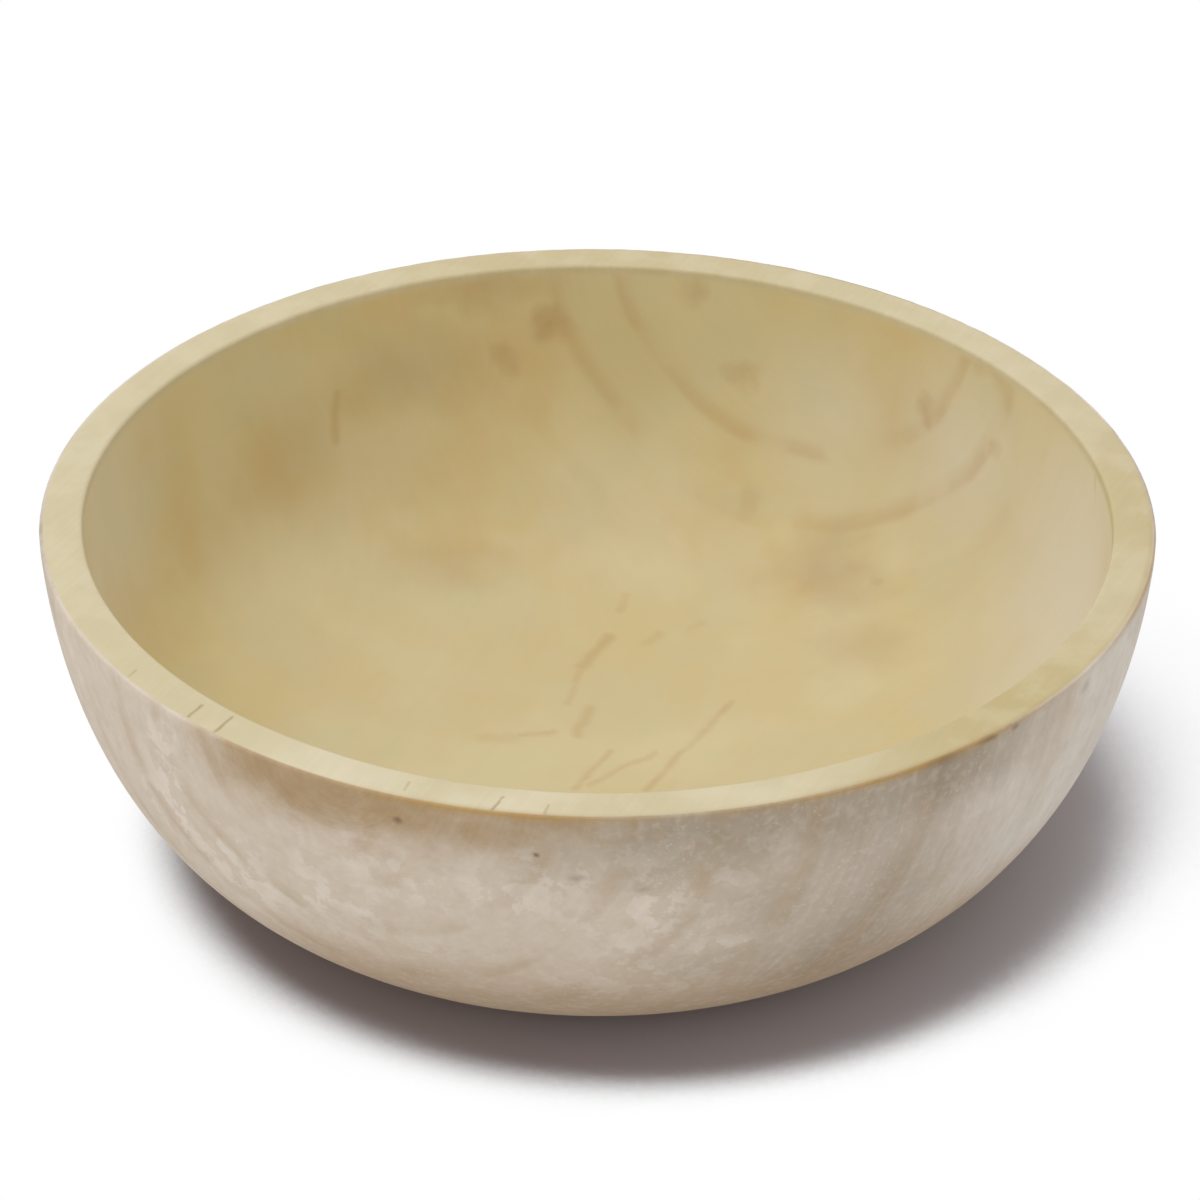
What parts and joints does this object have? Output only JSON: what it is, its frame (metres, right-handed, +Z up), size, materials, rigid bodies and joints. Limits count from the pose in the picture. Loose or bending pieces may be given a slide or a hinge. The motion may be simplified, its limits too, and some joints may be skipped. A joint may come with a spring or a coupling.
{
  "type": "carved bowl",
  "caption": "Wide round bowl carved in one piece from pale wood, with a smooth deep hollow, a broad flat rim, full curving sides and a small flat foot.",
  "frame": {"origin": "middle of the flat foot, on the surface the bowl stands on", "axes": "+Z up out of the hollow, -Y towards the side that faces the viewer in the picture"},
  "size_m": [0.3, 0.3, 0.1],
  "materials": {
    "wood": "sanded smooth; oiled to a warm cream in the hollow and on the rim, left dry and greyer outside"
  },
  "bodies": {
    "root": {"bowl": "wood"}
  },
  "joints": []
}
